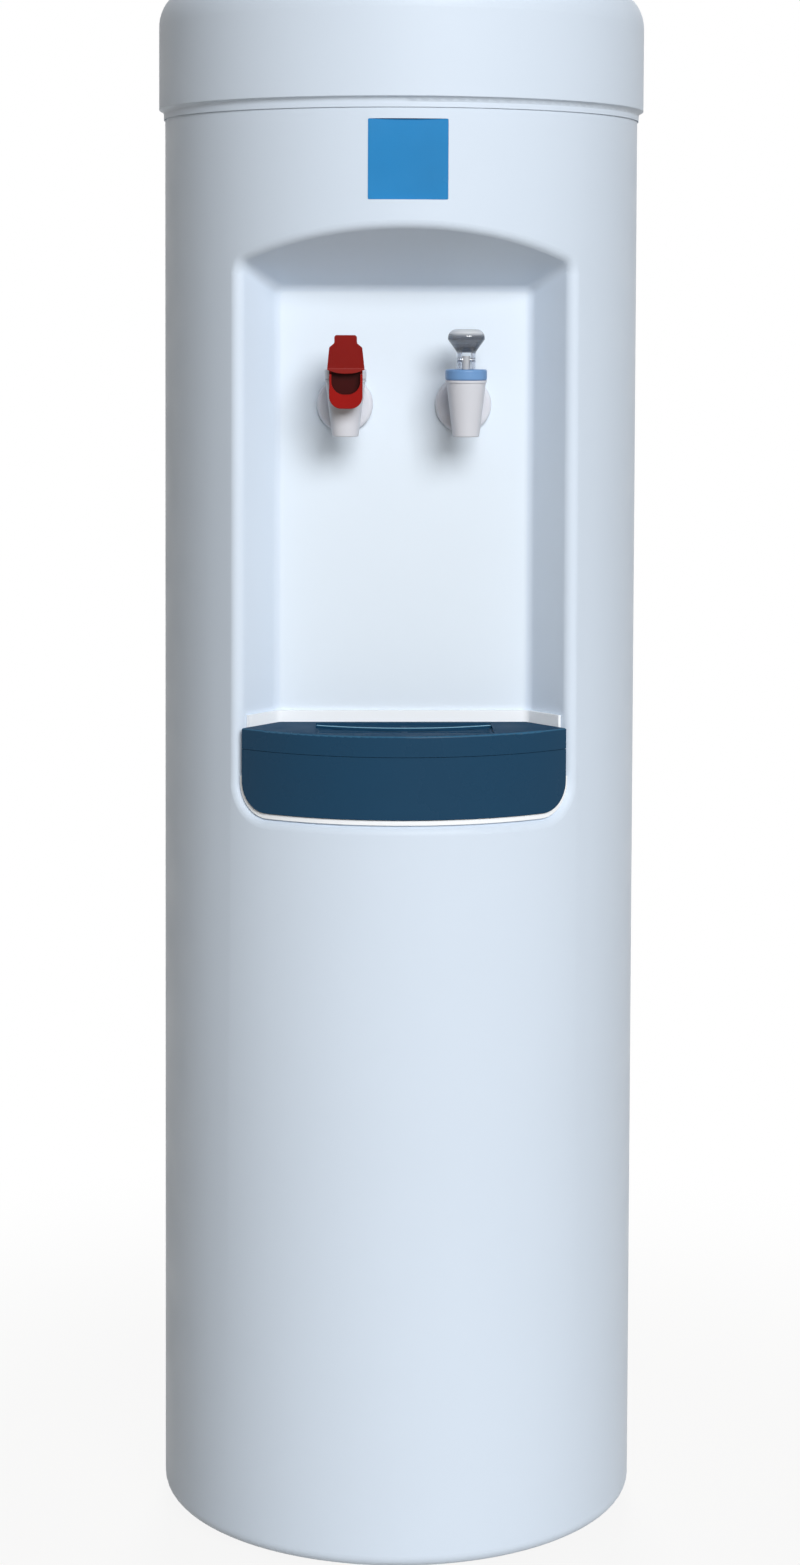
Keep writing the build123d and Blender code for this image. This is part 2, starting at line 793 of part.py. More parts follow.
def hot_lever():
    """Red lever: a forked column carrying a steep paddle in front."""
    top = bonnet_top + paddle_top
    lip = bonnet_top - paddle_lip_bottom
    front = tap_y - paddle_lip_reach
    crown = tap_y - paddle_set_forward
    corners = [
        (crown, top),
        (crown + paddle_thickness, top),
        (front + paddle_thickness, lip),
        (front, lip),
        (front, lip + paddle_thickness),
    ]
    edge = soft_edge / 2
    side = Plane.YZ * outline(corners, [soft_edge, soft_edge, edge, edge, soft_edge])
    plate = extrude(side, amount=paddle_lip_half_width, both=True)
    plate &= extrude(Plane.XZ * paddle_outline(), amount=2 * body_radius)
    column = block(-lever_half_width, lever_half_width, tap_y - lever_half_width, tap_y + lever_half_width,
                   bonnet_top + part_clearance, bonnet_top + paddle_column_height)
    return Pos(-tap_x, 0, 0) * (plate + column) - fork_cut(-tap_x)


def catch_front(half_width, foot, radius, top):
    """Front view of the catch or of its mouth: straight sides and a round foot."""
    corners = [(-half_width, top), (-half_width, foot), (half_width, foot), (half_width, top)]
    return outline(corners, [0, radius, radius, 0])


def hot_catch():
    """Red safety catch: a scoop whose back stands up behind the paddle's lip, on its guide pin."""
    body = catch_front(catch_half_width, catch_foot, catch_foot_radius, catch_top)
    scoop = extrude(Plane.XZ.offset(-catch_inner_y) * body, amount=catch_depth)
    scoop = fillet(scoop.faces().sort_by(Axis.Y)[0].edges(), catch_edge_round)
    mouth_foot = bonnet_top - catch_mouth_drop
    mouth = catch_front(catch_half_width - catch_wall, mouth_foot, catch_mouth_radius, catch_top + cut_over)
    scoop -= extrude(Plane.XZ.offset(catch_wall - catch_inner_y) * mouth, amount=catch_depth)
    scoop += block(-catch_half_width, catch_half_width, catch_inner_y - catch_wall, catch_inner_y,
                   mouth_foot, bonnet_top - part_clearance)
    pin_length = tap_y - barrel_radius_at(catch_pin_z) - catch_inner_y + catch_pin_engage
    return Pos(-tap_x, 0, 0) * (scoop + rod(0, catch_inner_y, catch_pin_z, catch_pin_radius, pin_length))


def tap_rosettes():
    """Discs round the tap necks on the recess wall."""
    discs = []
    front = shank_start_y - rosette_thickness
    for x in (-tap_x, tap_x):
        disc = rod(x, front, tap_z, rosette_radius, rosette_thickness)
        disc = fillet(disc.edges().group_by(Axis.Y)[0], rosette_round)
        discs.append(disc - rod(x, front, tap_z, neck_radius + seat_gap, rosette_thickness))
    return Compound(children=discs)


def tap_gaskets():
    """Soft washers between the rosettes and the wall."""
    washers = []
    for x in (-tap_x, tap_x):
        washer = rod(x, shank_start_y, tap_z, shank_radius + gasket_width, gasket_thickness)
        washers.append(washer - rod(x, shank_start_y, tap_z, shank_radius + seat_gap, gasket_thickness))
    return Compound(children=washers)


def tap_nuts():
    """Hexagon nuts on the shanks behind the wall."""
    nuts = []
    for x in (-tap_x, tap_x):
        hexagon = Pos(x, tap_z) * (RegularPolygon(nut_radius, 6) - Circle(shank_radius + seat_gap))
        nuts.append(extrude(Plane.XZ.offset(-recess_inner_y) * hexagon, amount=-nut_thickness))
    return Compound(children=nuts)


def shelf(top, holes):
    """Bent steel shelf that butts against the back of the cabinet."""
    bottom = top - shelf_thickness
    front = recess_inner_y + shelf_front_gap
    plate = block(-shelf_half_width, shelf_half_width, front, back_inner_y, bottom, top)
    plate += block(-shelf_half_width, shelf_half_width, back_inner_y - shelf_thickness, back_inner_y,
                   bottom - shelf_flange, top)
    for x, y, radius in holes:
        plate -= post(x, y, bottom - shelf_flange, radius, 2 * shelf_flange)
    return plate


def line_holes():
    """Holes where refrigerant lines pass a shelf."""
    return [
        (suction_x, suction_y, line_radius + pass_gap),
        (-condenser_half_width, condenser_inside_y, capillary_radius + pass_gap),
    ]


def tank_shelf():
    """Shelf under the cold tank."""
    hoses = [
        (tap_x, cold_port_y, hose_radius + hose_pass_gap),
        (feed_port_x, feed_port_y, hose_radius + pass_gap),
    ]
    return shelf(shelf_top, hoses + line_holes())


def hot_tank_shelf():
    """Shelf under the hot tank."""
    return shelf(hot_shelf_top, [(drain_x, drain_y, drain_radius + pass_gap)] + line_holes())


def cold_tank():
    """Open steel tank with a rim that hangs on the jacket."""
    tank = post(0, tank_y, tank_bottom, tank_radius, tank_top - tank_bottom)
    tank += post(0, tank_y, tank_rim_bottom, tank_radius + tank_rim_width, tank_rim_thickness)
    tank -= post(0, tank_y, tank_bottom + tank_wall, tank_radius - tank_wall, total_height)
    tank -= post(tap_x, cold_port_y, 0, barb_radius, total_height)
    return tank - post(feed_port_x, feed_port_y, 0, barb_radius, total_height)


def cold_tank_lid():
    """Lid with the hole that the bottle's neck feeds through."""
    lid = post(0, tank_y, tank_top, tank_radius + tank_rim_width, lid_thickness)
    return lid - post(0, 0, tank_top, neck_bore_radius + neck_passage_gap, lid_thickness)


def separator_baffle():
    """Disc that keeps the chilled water below the warm, on the pipe that feeds the hot tank."""
    floor = tank_bottom + tank_wall
    top = floor + baffle_share_height
    disc = post(0, tank_y, top - baffle_thickness, tank_radius - tank_wall - pass_gap, baffle_thickness)
    pipe = post(feed_port_x, feed_port_y, floor, baffle_pipe_radius, baffle_share_height)
    bore = post(feed_port_x, feed_port_y, floor, barb_radius, baffle_share_height)
    return disc + pipe - bore


def evaporator_coil():
    """Copper coil round the cold tank."""
    turn = (capillary_angle - suction_angle) / 360
    height = coil_top - coil_bottom
    turns = int(height / coil_pitch) + turn
    winding = coil(coil_radius, height / turns, height, coil_tube_radius, suction_angle)
    return Pos(0, tank_y, coil_bottom) * winding


def insulation():
    """Foam jacket round the coil and under the tank, with its passages."""
    foam = post(0, tank_y, shelf_top, jacket_radius, tank_rim_bottom - shelf_top)
    foam -= post(0, tank_y, tank_bottom, jacket_inner_radius, total_height)
    foam -= post(tap_x, cold_port_y, 0, hose_radius + hose_pass_gap, total_height)
    foam -= post(feed_port_x, feed_port_y, 0, hose_radius + pass_gap, total_height)
    foam -= post(suction_x, suction_y, 0, line_radius + pass_gap, total_height)
    inward = Rot(Z=capillary_angle - 90) * rod(0, 0, coil_top, capillary_radius + pass_gap, 2 * jacket_radius)
    return foam - Pos(0, tank_y, 0) * inward


def insulation_front():
    """Front half of the foam jacket."""
    return insulation() - behind(tank_y - part_clearance / 2)


def insulation_rear():
    """Rear half of the foam jacket."""
    return insulation() & behind(tank_y + part_clearance / 2)


def cold_hose():
    """Hose from the cold tank down to the cold tap."""
    route = [(tap_x, shank_end_y, tap_z), (tap_x, cold_port_y, tap_z), (tap_x, cold_port_y, tank_bottom)]
    return tube(route, hose_radius, hose_bend_radius, hose_bore_radius)


def hot_hose():
    """Hose from the top of the hot tank to the hot tap."""
    route = [(-tap_x, shank_end_y, tap_z), (-tap_x, hot_port_y, tap_z), (-tap_x, hot_port_y, hot_tank_top)]
    return tube(route, hose_radius, hose_bend_radius, hose_bore_radius)


def feed_hose():
    """Straight hose from the cold tank's floor to the hot tank."""
    length = tank_bottom - hot_tank_top
    return ring(feed_port_x, feed_port_y, hot_tank_top, hose_radius, hose_bore_radius, length)


def hot_tank():
    """Closed steel tank with ports in its ends."""
    tank = post(hot_tank_x, hot_tank_y, hot_tank_bottom, hot_tank_radius, hot_tank_height)
    tank -= post(hot_tank_x, hot_tank_y, hot_tank_bottom + tank_wall, hot_tank_radius - tank_wall,
                 hot_tank_height - 2 * tank_wall)
    middle = hot_tank_bottom + hot_tank_height / 2
    tank -= post(-tap_x, hot_port_y, middle, hose_bore_radius, hot_tank_height)
    tank -= post(feed_port_x, feed_port_y, middle, hose_bore_radius, hot_tank_height)
    return tank - post(drain_x, drain_y, middle - hot_tank_height, drain_bore_radius, hot_tank_height)


def hot_tank_jacket():
    """Insulating sleeve that stands on the shelf and carries the tank on a ledge."""
    sleeve_height = hot_tank_top - hot_shelf_top - tank_wall
    sleeve = post(hot_tank_x, hot_tank_y, hot_shelf_top, hot_jacket_radius, sleeve_height)
    sleeve -= post(hot_tank_x, hot_tank_y, hot_tank_bottom, hot_tank_radius + part_clearance, hot_tank_height)
    return sleeve - post(hot_tank_x, hot_tank_y, 0, hot_tank_radius - hot_jacket_ledge, total_height)


def heater_flange():
    """Heater plate on the floor of the hot tank with its two terminals."""
    flange_z = hot_tank_bottom - heater_thickness
    heater = post(hot_tank_x, hot_tank_y, flange_z, heater_radius, heater_thickness)
    for side in (-1, 1):
        x = hot_tank_x + side * heater_stud_spacing / 2
        heater += post(x, hot_tank_y, flange_z - heater_stud_length, heater_stud_radius, heater_stud_length)
    return heater


def hot_thermostats():
    """Control and safety thermostats on the hot tank's top."""
    reach = hot_tank_radius / 2
    places = [(hot_tank_x + reach, hot_tank_y - reach / 2), (hot_tank_x - reach / 2, hot_tank_y + reach)]
    discs = [post(x, y, hot_tank_top, thermostat_disc_radius, thermostat_disc_height) for x, y in places]
    return Compound(children=discs)


def drain_pipe():
    """Pipe from the floor of the hot tank out through the back panel, with a stop flange."""
    end_y = panel_outer_y + drain_stub
    route = [(drain_x, drain_y, hot_tank_bottom), (drain_x, drain_y, drain_z), (drain_x, end_y, drain_z)]
    pipe = tube(route, drain_radius, drain_bend_radius, drain_bore_radius)
    flange = rod(drain_x, panel_outer_y, drain_z, drain_flange_radius, drain_flange_thickness)
    middle = (drain_radius + drain_bore_radius) / 2
    flange -= rod(drain_x, panel_outer_y, drain_z, middle, drain_flange_thickness)
    return pipe + flange


def drain_cap():
    """Cap over the end of the drain pipe."""
    start = panel_outer_y + drain_flange_thickness + part_clearance
    cap = rod(drain_x, start, drain_z, drain_cap_radius, drain_cap_length)
    cap = fillet(cap.edges().group_by(Axis.Y)[-1], soft_edge)
    depth = drain_stub - drain_flange_thickness
    return cap - rod(drain_x, start, drain_z, drain_radius + part_clearance, depth)


def base_plate():
    """Steel floor resting on the cabinet's flange."""
    plate = post(0, 0, plate_z, inner_radius - part_clearance, base_plate_thickness)
    plate -= behind(back_inner_y - part_clearance)
    for x, y in base_screw_places():
        plate -= post(x, y, 0, screw_radius + screw_clearance, total_height)
    return plate


def base_screw_places():
    """Screws that hold the base plate to the flange."""
    radius = body_radius - base_screw_radius_inset
    step = 180 / base_screw_count
    angles = [180 + step * (i + 0.5) for i in range(base_screw_count)]
    return [(radius * math.cos(math.radians(a)), radius * math.sin(math.radians(a))) for a in angles]


def screw(length):
    """Cross-head screw pointing down, head on z = 0."""
    head = post(0, 0, 0, screw_head_radius, screw_head_height)
    head = fillet(head.edges().group_by(Axis.Z)[-1], screw_head_height / 2)
    slot = Pos(0, 0, screw_head_height) * Box(screw_drive_span, screw_drive_width, 2 * screw_drive_depth)
    return head + post(0, 0, -length, screw_radius, length) - slot - Rot(Z=90) * slot


def rubber_feet():
    """Four feet under the base plate."""
    feet = []
    for x in (-foot_x, foot_x):
        for y in (-foot_y, foot_y):
            corners = [(0, 0), (foot_radius - foot_taper, 0), (foot_radius, plate_z), (0, plate_z)]
            feet.append(turned(corners, None, x, y))
    return Compound(children=feet)


def compressor_bolt_places():
    """Corners where the compressor is bolted down."""
    return [(x, compressor_y + y) for x in (-compressor_bolt_x, compressor_bolt_x)
            for y in (-compressor_bolt_y, compressor_bolt_y)]


def compressor_shell():
    """Welded pot with its seam and two line stubs."""
    pot = post(0, compressor_y, compressor_z, compressor_radius, compressor_height)
    pot = fillet(pot.edges().group_by(Axis.Z)[-1], compressor_top_radius)
    pot = fillet(pot.edges().group_by(Axis.Z)[0], compressor_bottom_radius)
    seam_z = compressor_z + compressor_height / 2
    pot += post(0, compressor_y, seam_z, compressor_radius + compressor_seam_width, compressor_seam_height)
    for x, y in (discharge_stub, suction_stub):
        pot += post(x, compressor_y + y, seam_z, stub_radius, stub_top - seam_z)
    room_radius = compressor_radius - compressor_wall
    room_height = compressor_height - 2 * compressor_wall
    room = post(0, compressor_y, compressor_z + compressor_wall, room_radius, room_height)
    return pot - fillet(room.edges().group_by(Axis.Z)[-1], compressor_top_radius - compressor_wall)


def compressor_base():
    """Bracket plate under the pot."""
    plate = block(-compressor_plate_x, compressor_plate_x, compressor_y - compressor_plate_y,
                  compressor_y + compressor_plate_y, compressor_plate_z, compressor_z)
    for x, y in compressor_bolt_places():
        plate -= post(x, y, 0, bolt_radius + bolt_clearance, total_height)
    return plate


def compressor_grommets():
    """Rubber mounts under the bracket plate."""
    bore = bolt_radius + bolt_clearance
    places = compressor_bolt_places()
    return Compound(children=[ring(x, y, plate_top, grommet_radius, bore, grommet_height) for x, y in places])


def compressor_bolts():
    """Studs on the base plate with their nuts."""
    bolts = []
    for x, y in compressor_bolt_places():
        stud = post(x, y, plate_top, bolt_radius, compressor_z - plate_top)
        bolts.append(stud + post(x, y, compressor_z, bolt_head_radius, bolt_head_height))
    return Compound(children=bolts)


def start_relay_box():
    """Relay cover on the side of the compressor."""
    x0 = compressor_radius - relay_width / 4
    box = block(x0, x0 + relay_width, compressor_y - relay_depth / 2, compressor_y + relay_depth / 2,
                compressor_z + relay_rise - relay_height / 2, compressor_z + relay_rise + relay_height / 2)
    box = fillet(box.edges().filter_by(Axis.Z), relay_corner_radius)
    clear = compressor_radius + compressor_seam_width + part_clearance
    return box - post(0, compressor_y, 0, clear, total_height)


def condenser_serpentine():
    """Serpentine tube behind the back panel; both ends turn in through the panel."""
    half = condenser_half_width
    route = [(-half, condenser_inside_y, drier_bottom), (-half, condenser_inside_y, condenser_bottom)]
    side = -1
    for i in range(condenser_runs + 1):
        z = condenser_bottom + i * condenser_step
        route += [(side * half, condenser_y, z), (-side * half, condenser_y, z)]
        side = -side
    route.append((half, condenser_inside_y, condenser_top))
    turn = condenser_end_bend
    bends = [turn, turn] + [condenser_u_bend * condenser_step] * (2 * condenser_runs) + [turn]
    return tube(route, condenser_tube_radius, bends)


def condenser():
    """Serpentine with cooling wires on both of its faces."""
    count = int((condenser_half_width - condenser_step / 2) / wire_pitch)
    bottom = condenser_bottom - wire_overrun
    length = condenser_top - condenser_bottom + 2 * wire_overrun
    away = condenser_tube_radius + wire_radius + seat_gap
    wires = [post(i * wire_pitch, condenser_y + side * away, bottom, wire_radius, length)
             for i in range(-count, count + 1) for side in (-1, 1)]
    return Compound(children=[condenser_serpentine()] + wires)


def condenser_brackets():
    """Bars on the back panel that hold the condenser off it."""
    face_y = condenser_y - condenser_tube_radius - 2 * wire_radius - 2 * seat_gap
    bars = []
    for run in (1, condenser_runs - 1):
        z = condenser_bottom + (run + 0.5) * condenser_step
        bars.append(block(-bracket_half_width, bracket_half_width, panel_outer_y, face_y,
                          z - bracket_height / 2, z + bracket_height / 2))
    return Compound(children=bars)


def filter_drier():
    """Copper drier between the condenser and the capillary."""
    corners = [
        (0, drier_bottom),
        (condenser_tube_radius, drier_bottom),
        (drier_radius, drier_bottom + drier_cone),
        (drier_radius, drier_top - drier_cone),
        (condenser_tube_radius, drier_top),
        (0, drier_top),
    ]
    return turned(corners, None, -condenser_half_width, condenser_inside_y)


def capillary_tube():
    """Thin tube from the drier up to the evaporator."""
    x = -condenser_half_width
    reach = coil_radius + coil_tube_radius + part_clearance
    end_x = reach * math.cos(math.radians(capillary_angle))
    end_y = tank_y + reach * math.sin(math.radians(capillary_angle))
    route = [(x, condenser_inside_y, drier_top), (x, condenser_inside_y, coil_top), (end_x, end_y, coil_top)]
    return tube(route, capillary_radius, capillary_bend_radius)


def discharge_line():
    """Line from the compressor up to the top of the condenser."""
    x, y = discharge_stub
    y += compressor_y
    half = condenser_half_width
    side_y = y + 2 * line_bend_radius
    route = [
        (x, y, stub_top),
        (x, y, stub_top + 4 * line_bend_radius),
        (half, side_y, stub_top + 7 * line_bend_radius),
        (half, side_y, condenser_top),
        (half, condenser_inside_y, condenser_top),
    ]
    return tube(route, line_radius, line_bend_radius)


def suction_line():
    """Line from the bottom of the evaporator down to the compressor."""
    x, y = suction_stub
    y += compressor_y
    route = [
        (suction_x, suction_y, coil_bottom - coil_tube_radius - part_clearance),
        (suction_x, suction_y, stub_top + 8 * line_bend_radius),
        (x, y, stub_top + 4 * line_bend_radius),
        (x, y, stub_top),
    ]
    return tube(route, line_radius, line_bend_radius)


def refrigerant_lines():
    """The two copper lines at the compressor."""
    return Compound(children=[discharge_line(), suction_line()])


def panel_screw_places():
    """Screws down both edges of the back panel, as (x, z)."""
    x = window_half + back_flange_width / 2 - panel_margin / 2
    low = window_bottom + screw_head_radius
    step = (window_top - screw_head_radius - low) / (panel_screw_rows - 1)
    return [(side * x, low + i * step) for side in (-1, 1) for i in range(panel_screw_rows)]


def louvre_places():
    """Heights of the vent slots: beside the compressor and under the collar."""
    first = window_bottom + louvre_pitch
    low_rows = int((condenser_bottom - wire_overrun - first) / louvre_pitch)
    low = [first + i * louvre_pitch for i in range(low_rows)]
    return low + [window_top - louvre_pitch * (i + 1) for i in range(louvre_rows)]


def back_panel():
    """Steel panel over the window in the flat back, with vents and openings."""
    half = back_flat_width / 2 - panel_margin
    panel = block(-half, half, back_y, panel_outer_y, panel_bottom, collar_bottom - panel_margin)
    for z in louvre_places():
        slot = Pos(0, z) * SlotOverall(louvre_width, louvre_height)
        panel -= extrude(Plane.XZ.offset(-back_y) * slot, amount=-panel_thickness)
    holes = [(x, z, screw_radius + screw_clearance) for x, z in panel_screw_places()]
    holes.append((-condenser_half_width, condenser_bottom, condenser_tube_radius + part_clearance))
    holes.append((condenser_half_width, condenser_top, condenser_tube_radius + part_clearance))
    holes.append((drain_x, drain_z, drain_radius + part_clearance))
    holes.append((control_x, control_z, control_shaft_radius + part_clearance))
    holes.append((gland_x, gland_z, gland_radius + seat_gap))
    for x, z, radius in holes:
        panel -= rod(x, back_y, z, radius, panel_thickness)
    half_w = switch_width / 2
    half_h = switch_height / 2
    return panel - block(-half_w, half_w, back_y, panel_outer_y, switch_z - half_h, switch_z + half_h)


def cabinet_screws():
    """Screws that hold the base plate and the back panel on the cabinet."""
    base = screw(base_plate_thickness + body_wall)
    back = Rot(X=-90) * screw(panel_thickness + body_wall)
    screws = [Pos(x, y, plate_top) * base for x, y in base_screw_places()]
    screws += [Pos(x, panel_outer_y, z) * back for x, z in panel_screw_places()]
    return Compound(children=screws)


def hot_switch_frame():
    """Switch housing with a bezel outside the panel."""
    half_w = switch_width / 2 - seat_gap
    half_h = switch_height / 2 - seat_gap
    inside_y = back_y - switch_body_depth
    frame = block(-half_w, half_w, inside_y, panel_outer_y, switch_z - half_h, switch_z + half_h)
    out_w = half_w + switch_bezel
    out_h = half_h + switch_bezel
    face_y = panel_outer_y + switch_bezel
    frame += block(-out_w, out_w, panel_outer_y, face_y, switch_z - out_h, switch_z + out_h)
    well_w = half_w - switch_wall
    well_h = half_h - switch_wall
    frame -= block(-well_w, well_w, rocker_pivot_y - rocker_depth, panel_outer_y + 2 * switch_bezel,
                   switch_z - well_h, switch_z + well_h)
    holes = Cylinder(rocker_pivot_radius + pin_fit, 2 * (well_w + rocker_pivot_length))
    return frame - Pos(0, rocker_pivot_y, switch_z) * Rot(Y=90) * holes


def hot_switch_rocker():
    """Rocker on two stub pivots."""
    well_w = switch_width / 2 - seat_gap - switch_wall
    well_h = switch_height / 2 - seat_gap - switch_wall
    half_w = well_w - rocker_gap
    half_h = well_h - rocker_end_gap
    y0 = rocker_pivot_y - rocker_depth / 4
    rocker = block(-half_w, half_w, y0, y0 + rocker_depth, switch_z - half_h, switch_z + half_h)
    rocker = fillet(rocker.edges().group_by(Axis.Y)[-1], soft_edge)
    stub_half = well_w + rocker_pivot_length - rocker_gap
    stubs = Rot(Y=90) * Cylinder(rocker_pivot_radius, 2 * stub_half)
    return rocker + Pos(0, rocker_pivot_y, switch_z) * stubs


def thermostat_body():
    """Cold control behind the panel."""
    start = back_y - control_body_depth
    body = rod(control_x, start, control_z, control_body_radius, control_body_depth)
    depth = control_shaft_length + part_clearance
    return body - rod(control_x, back_y - depth, control_z, control_shaft_radius + pin_fit, depth)


def thermostat_knob():
    """Fluted knob with a pointer ridge, on its shaft."""
    start = panel_outer_y + knob_standoff
    knob = rod(control_x, start, control_z, knob_radius, knob_height)
    knob = fillet(knob.edges().group_by(Axis.Y)[-1], soft_edge)
    for i in range(knob_flute_count):
        angle = 2 * math.pi * i / knob_flute_count
        x = control_x + (knob_radius + knob_flute_radius / 2) * math.cos(angle)
        z = control_z + (knob_radius + knob_flute_radius / 2) * math.sin(angle)
        knob -= rod(x, start + knob_height / 4, z, knob_flute_radius, knob_height)
    half = knob_pointer_width / 2
    crest = start + knob_height + knob_pointer_height
    tip = control_z + knob_radius - 2 * soft_edge
    knob += block(control_x - half, control_x + half, start + knob_height / 2, crest, control_z, tip)
    shaft_start = back_y - control_shaft_length
    return knob + rod(control_x, shaft_start, control_z, control_shaft_radius, start - shaft_start)


def cord_gland():
    """Bush in the panel with the bore that a supply cord passes through."""
    start = back_y - gland_inside_length
    bush = rod(gland_x, start, gland_z, gland_radius, panel_outer_y - start)
    flange = rod(gland_x, panel_outer_y, gland_z, gland_flange_radius, gland_flange_thickness)
    bush += fillet(flange.edges().group_by(Axis.Y)[-1], soft_edge)
    return bush - rod(gland_x, start, gland_z, gland_bore_radius, gland_inside_length * 3)


NODES = {
    "front_shell": front_shell,
    "top_collar": top_collar,
    "bottle_funnel": bottle_funnel,
    "funnel_seal": funnel_seal,
    "badge_plate": badge_plate,
    "tray_cradle": tray_cradle,
    "drip_basin": drip_basin,
    "drip_grille": drip_grille,
    "hot_faucet_body": hot_faucet_body,
    "hot_bonnet": lambda: bonnet(-tap_x),
    "hot_stem": lambda: valve_stem(-tap_x),
    "hot_spring": lambda: valve_spring(-tap_x),
    "hot_lever_pin": lambda: lever_pin(-tap_x),
    "hot_lever": hot_lever,
    "hot_catch": hot_catch,
    "cold_faucet_body": lambda: faucet_body(tap_x),
    "cold_bonnet": lambda: bonnet(tap_x),
    "cold_stem": lambda: valve_stem(tap_x),
    "cold_spring": lambda: valve_spring(tap_x),
    "cold_lever_pin": lambda: lever_pin(tap_x),
    "cold_lever": cold_lever,
    "tap_rosettes": tap_rosettes,
    "tap_gaskets": tap_gaskets,
    "tap_nuts": tap_nuts,
    "tank_shelf": tank_shelf,
    "cold_tank": cold_tank,
    "cold_tank_lid": cold_tank_lid,
    "separator_baffle": separator_baffle,
    "evaporator_coil": evaporator_coil,
    "insulation_front": insulation_front,
    "insulation_rear": insulation_rear,
    "cold_hose": cold_hose,
    "hot_hose": hot_hose,
    "feed_hose": feed_hose,
    "hot_tank": hot_tank,
    "hot_tank_jacket": hot_tank_jacket,
    "hot_tank_shelf": hot_tank_shelf,
    "heater_flange": heater_flange,
    "hot_thermostats": hot_thermostats,
    "drain_pipe": drain_pipe,
    "drain_cap": drain_cap,
    "base_plate": base_plate,
    "rubber_feet": rubber_feet,
    "compressor_shell": compressor_shell,
    "compressor_base": compressor_base,
    "compressor_grommets": compressor_grommets,
    "compressor_bolts": compressor_bolts,
    "start_relay_box": start_relay_box,
    "condenser": condenser,
    "condenser_brackets": condenser_brackets,
    "filter_drier": filter_drier,
    "capillary_tube": capillary_tube,
    "refrigerant_lines": refrigerant_lines,
    "back_panel": back_panel,
    "cabinet_screws": cabinet_screws,
    "hot_switch_frame": hot_switch_frame,
    "hot_switch_rocker": hot_switch_rocker,
    "thermostat_body": thermostat_body,
    "thermostat_knob": thermostat_knob,
    "cord_gland": cord_gland,
}

if __name__ == "__main__":
    os.makedirs("parts", exist_ok=True)
    for name, make in NODES.items():
        export_step(make(), os.path.join("parts", name + ".step"))
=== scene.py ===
import json
import math

import bmesh
import bpy
from mathutils import Matrix, Vector


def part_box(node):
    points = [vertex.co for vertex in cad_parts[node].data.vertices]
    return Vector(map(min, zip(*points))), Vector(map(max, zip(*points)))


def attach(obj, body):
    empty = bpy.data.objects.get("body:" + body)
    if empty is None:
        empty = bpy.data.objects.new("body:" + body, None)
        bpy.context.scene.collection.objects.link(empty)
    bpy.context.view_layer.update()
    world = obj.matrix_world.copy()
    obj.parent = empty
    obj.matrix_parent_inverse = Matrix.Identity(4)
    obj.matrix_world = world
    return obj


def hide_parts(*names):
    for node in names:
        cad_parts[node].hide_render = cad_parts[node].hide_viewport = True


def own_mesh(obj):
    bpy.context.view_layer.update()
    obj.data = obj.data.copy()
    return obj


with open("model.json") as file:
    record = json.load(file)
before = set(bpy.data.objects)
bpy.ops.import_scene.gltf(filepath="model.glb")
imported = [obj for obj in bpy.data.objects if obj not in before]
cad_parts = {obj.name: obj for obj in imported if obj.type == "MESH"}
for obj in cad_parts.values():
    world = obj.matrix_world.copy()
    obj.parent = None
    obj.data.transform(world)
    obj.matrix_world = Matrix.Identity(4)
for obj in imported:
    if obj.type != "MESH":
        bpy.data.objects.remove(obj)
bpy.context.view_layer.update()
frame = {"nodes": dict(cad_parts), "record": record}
nodes = frame["nodes"]
scene = bpy.context.scene

# Height of the photograph, in pixels, and the camera worked out from it
IMAGE_HEIGHT = 1565.0
SENSOR = 36.0
FOCAL_PIXELS = 3022.0
PRINCIPAL_ROW = 467.0
CAMERA_DISTANCE = 2.0
CAMERA_HEIGHT = 0.791
CAMERA_AZIMUTH = math.radians(-1.6)
CAMERA_TILT = math.radians(3.0)
CAMERA_ROLL = math.radians(0.21)


def node_tree(material):
    """Clears a material down to an output and a Principled shader; gives the tree and both nodes."""
    material.use_nodes = True
    tree = material.node_tree
    tree.nodes.clear()
    output = tree.nodes.new("ShaderNodeOutputMaterial")
    shader = tree.nodes.new("ShaderNodeBsdfPrincipled")
    tree.links.new(shader.outputs["BSDF"], output.inputs["Surface"])
    return tree, shader, output


def noise(tree, scale, detail, stretch=None):
    """Noise in the part's own frame, in waves to the metre; stretch squeezes it along the axes."""
    place = tree.nodes.new("ShaderNodeTexCoord").outputs["Object"]
    if stretch:
        mapping = tree.nodes.new("ShaderNodeMapping")
        mapping.inputs["Scale"].default_value = stretch
        tree.links.new(place, mapping.inputs["Vector"])
        place = mapping.outputs["Vector"]
    texture = tree.nodes.new("ShaderNodeTexNoise")
    texture.inputs["Scale"].default_value = scale
    texture.inputs["Detail"].default_value = detail
    tree.links.new(place, texture.inputs["Vector"])
    return texture.outputs["Fac"]


def ramp(tree, fac, low, high, start=0.3, end=0.7):
    """Colour that runs from low to high as fac goes from start to end."""
    node = tree.nodes.new("ShaderNodeValToRGB")
    node.color_ramp.elements[0].position = start
    node.color_ramp.elements[0].color = (*low, 1.0)
    node.color_ramp.elements[1].position = end
    node.color_ramp.elements[1].color = (*high, 1.0)
    tree.links.new(fac, node.inputs["Fac"])
    return node.outputs["Color"]


def spread(tree, fac, low, high, start=0.3, end=0.7):
    """Number that runs from low to high as fac goes from start to end."""
    node = tree.nodes.new("ShaderNodeMapRange")
    node.inputs["From Min"].default_value = start
    node.inputs["From Max"].default_value = end
    node.inputs["To Min"].default_value = low
    node.inputs["To Max"].default_value = high
    tree.links.new(fac, node.inputs["Value"])
    return node.outputs["Result"]


# Detail of the three noises in a finish, and how strongly gloss and grain vary
MOTTLE_DETAIL, GLOSS_DETAIL, GRAIN_DETAIL = 4.0, 5.0, 2.0
GLOSS_SCALE = 35.0
GLOSS_SPREAD = 0.12
GRAIN_STRENGTH = 0.35


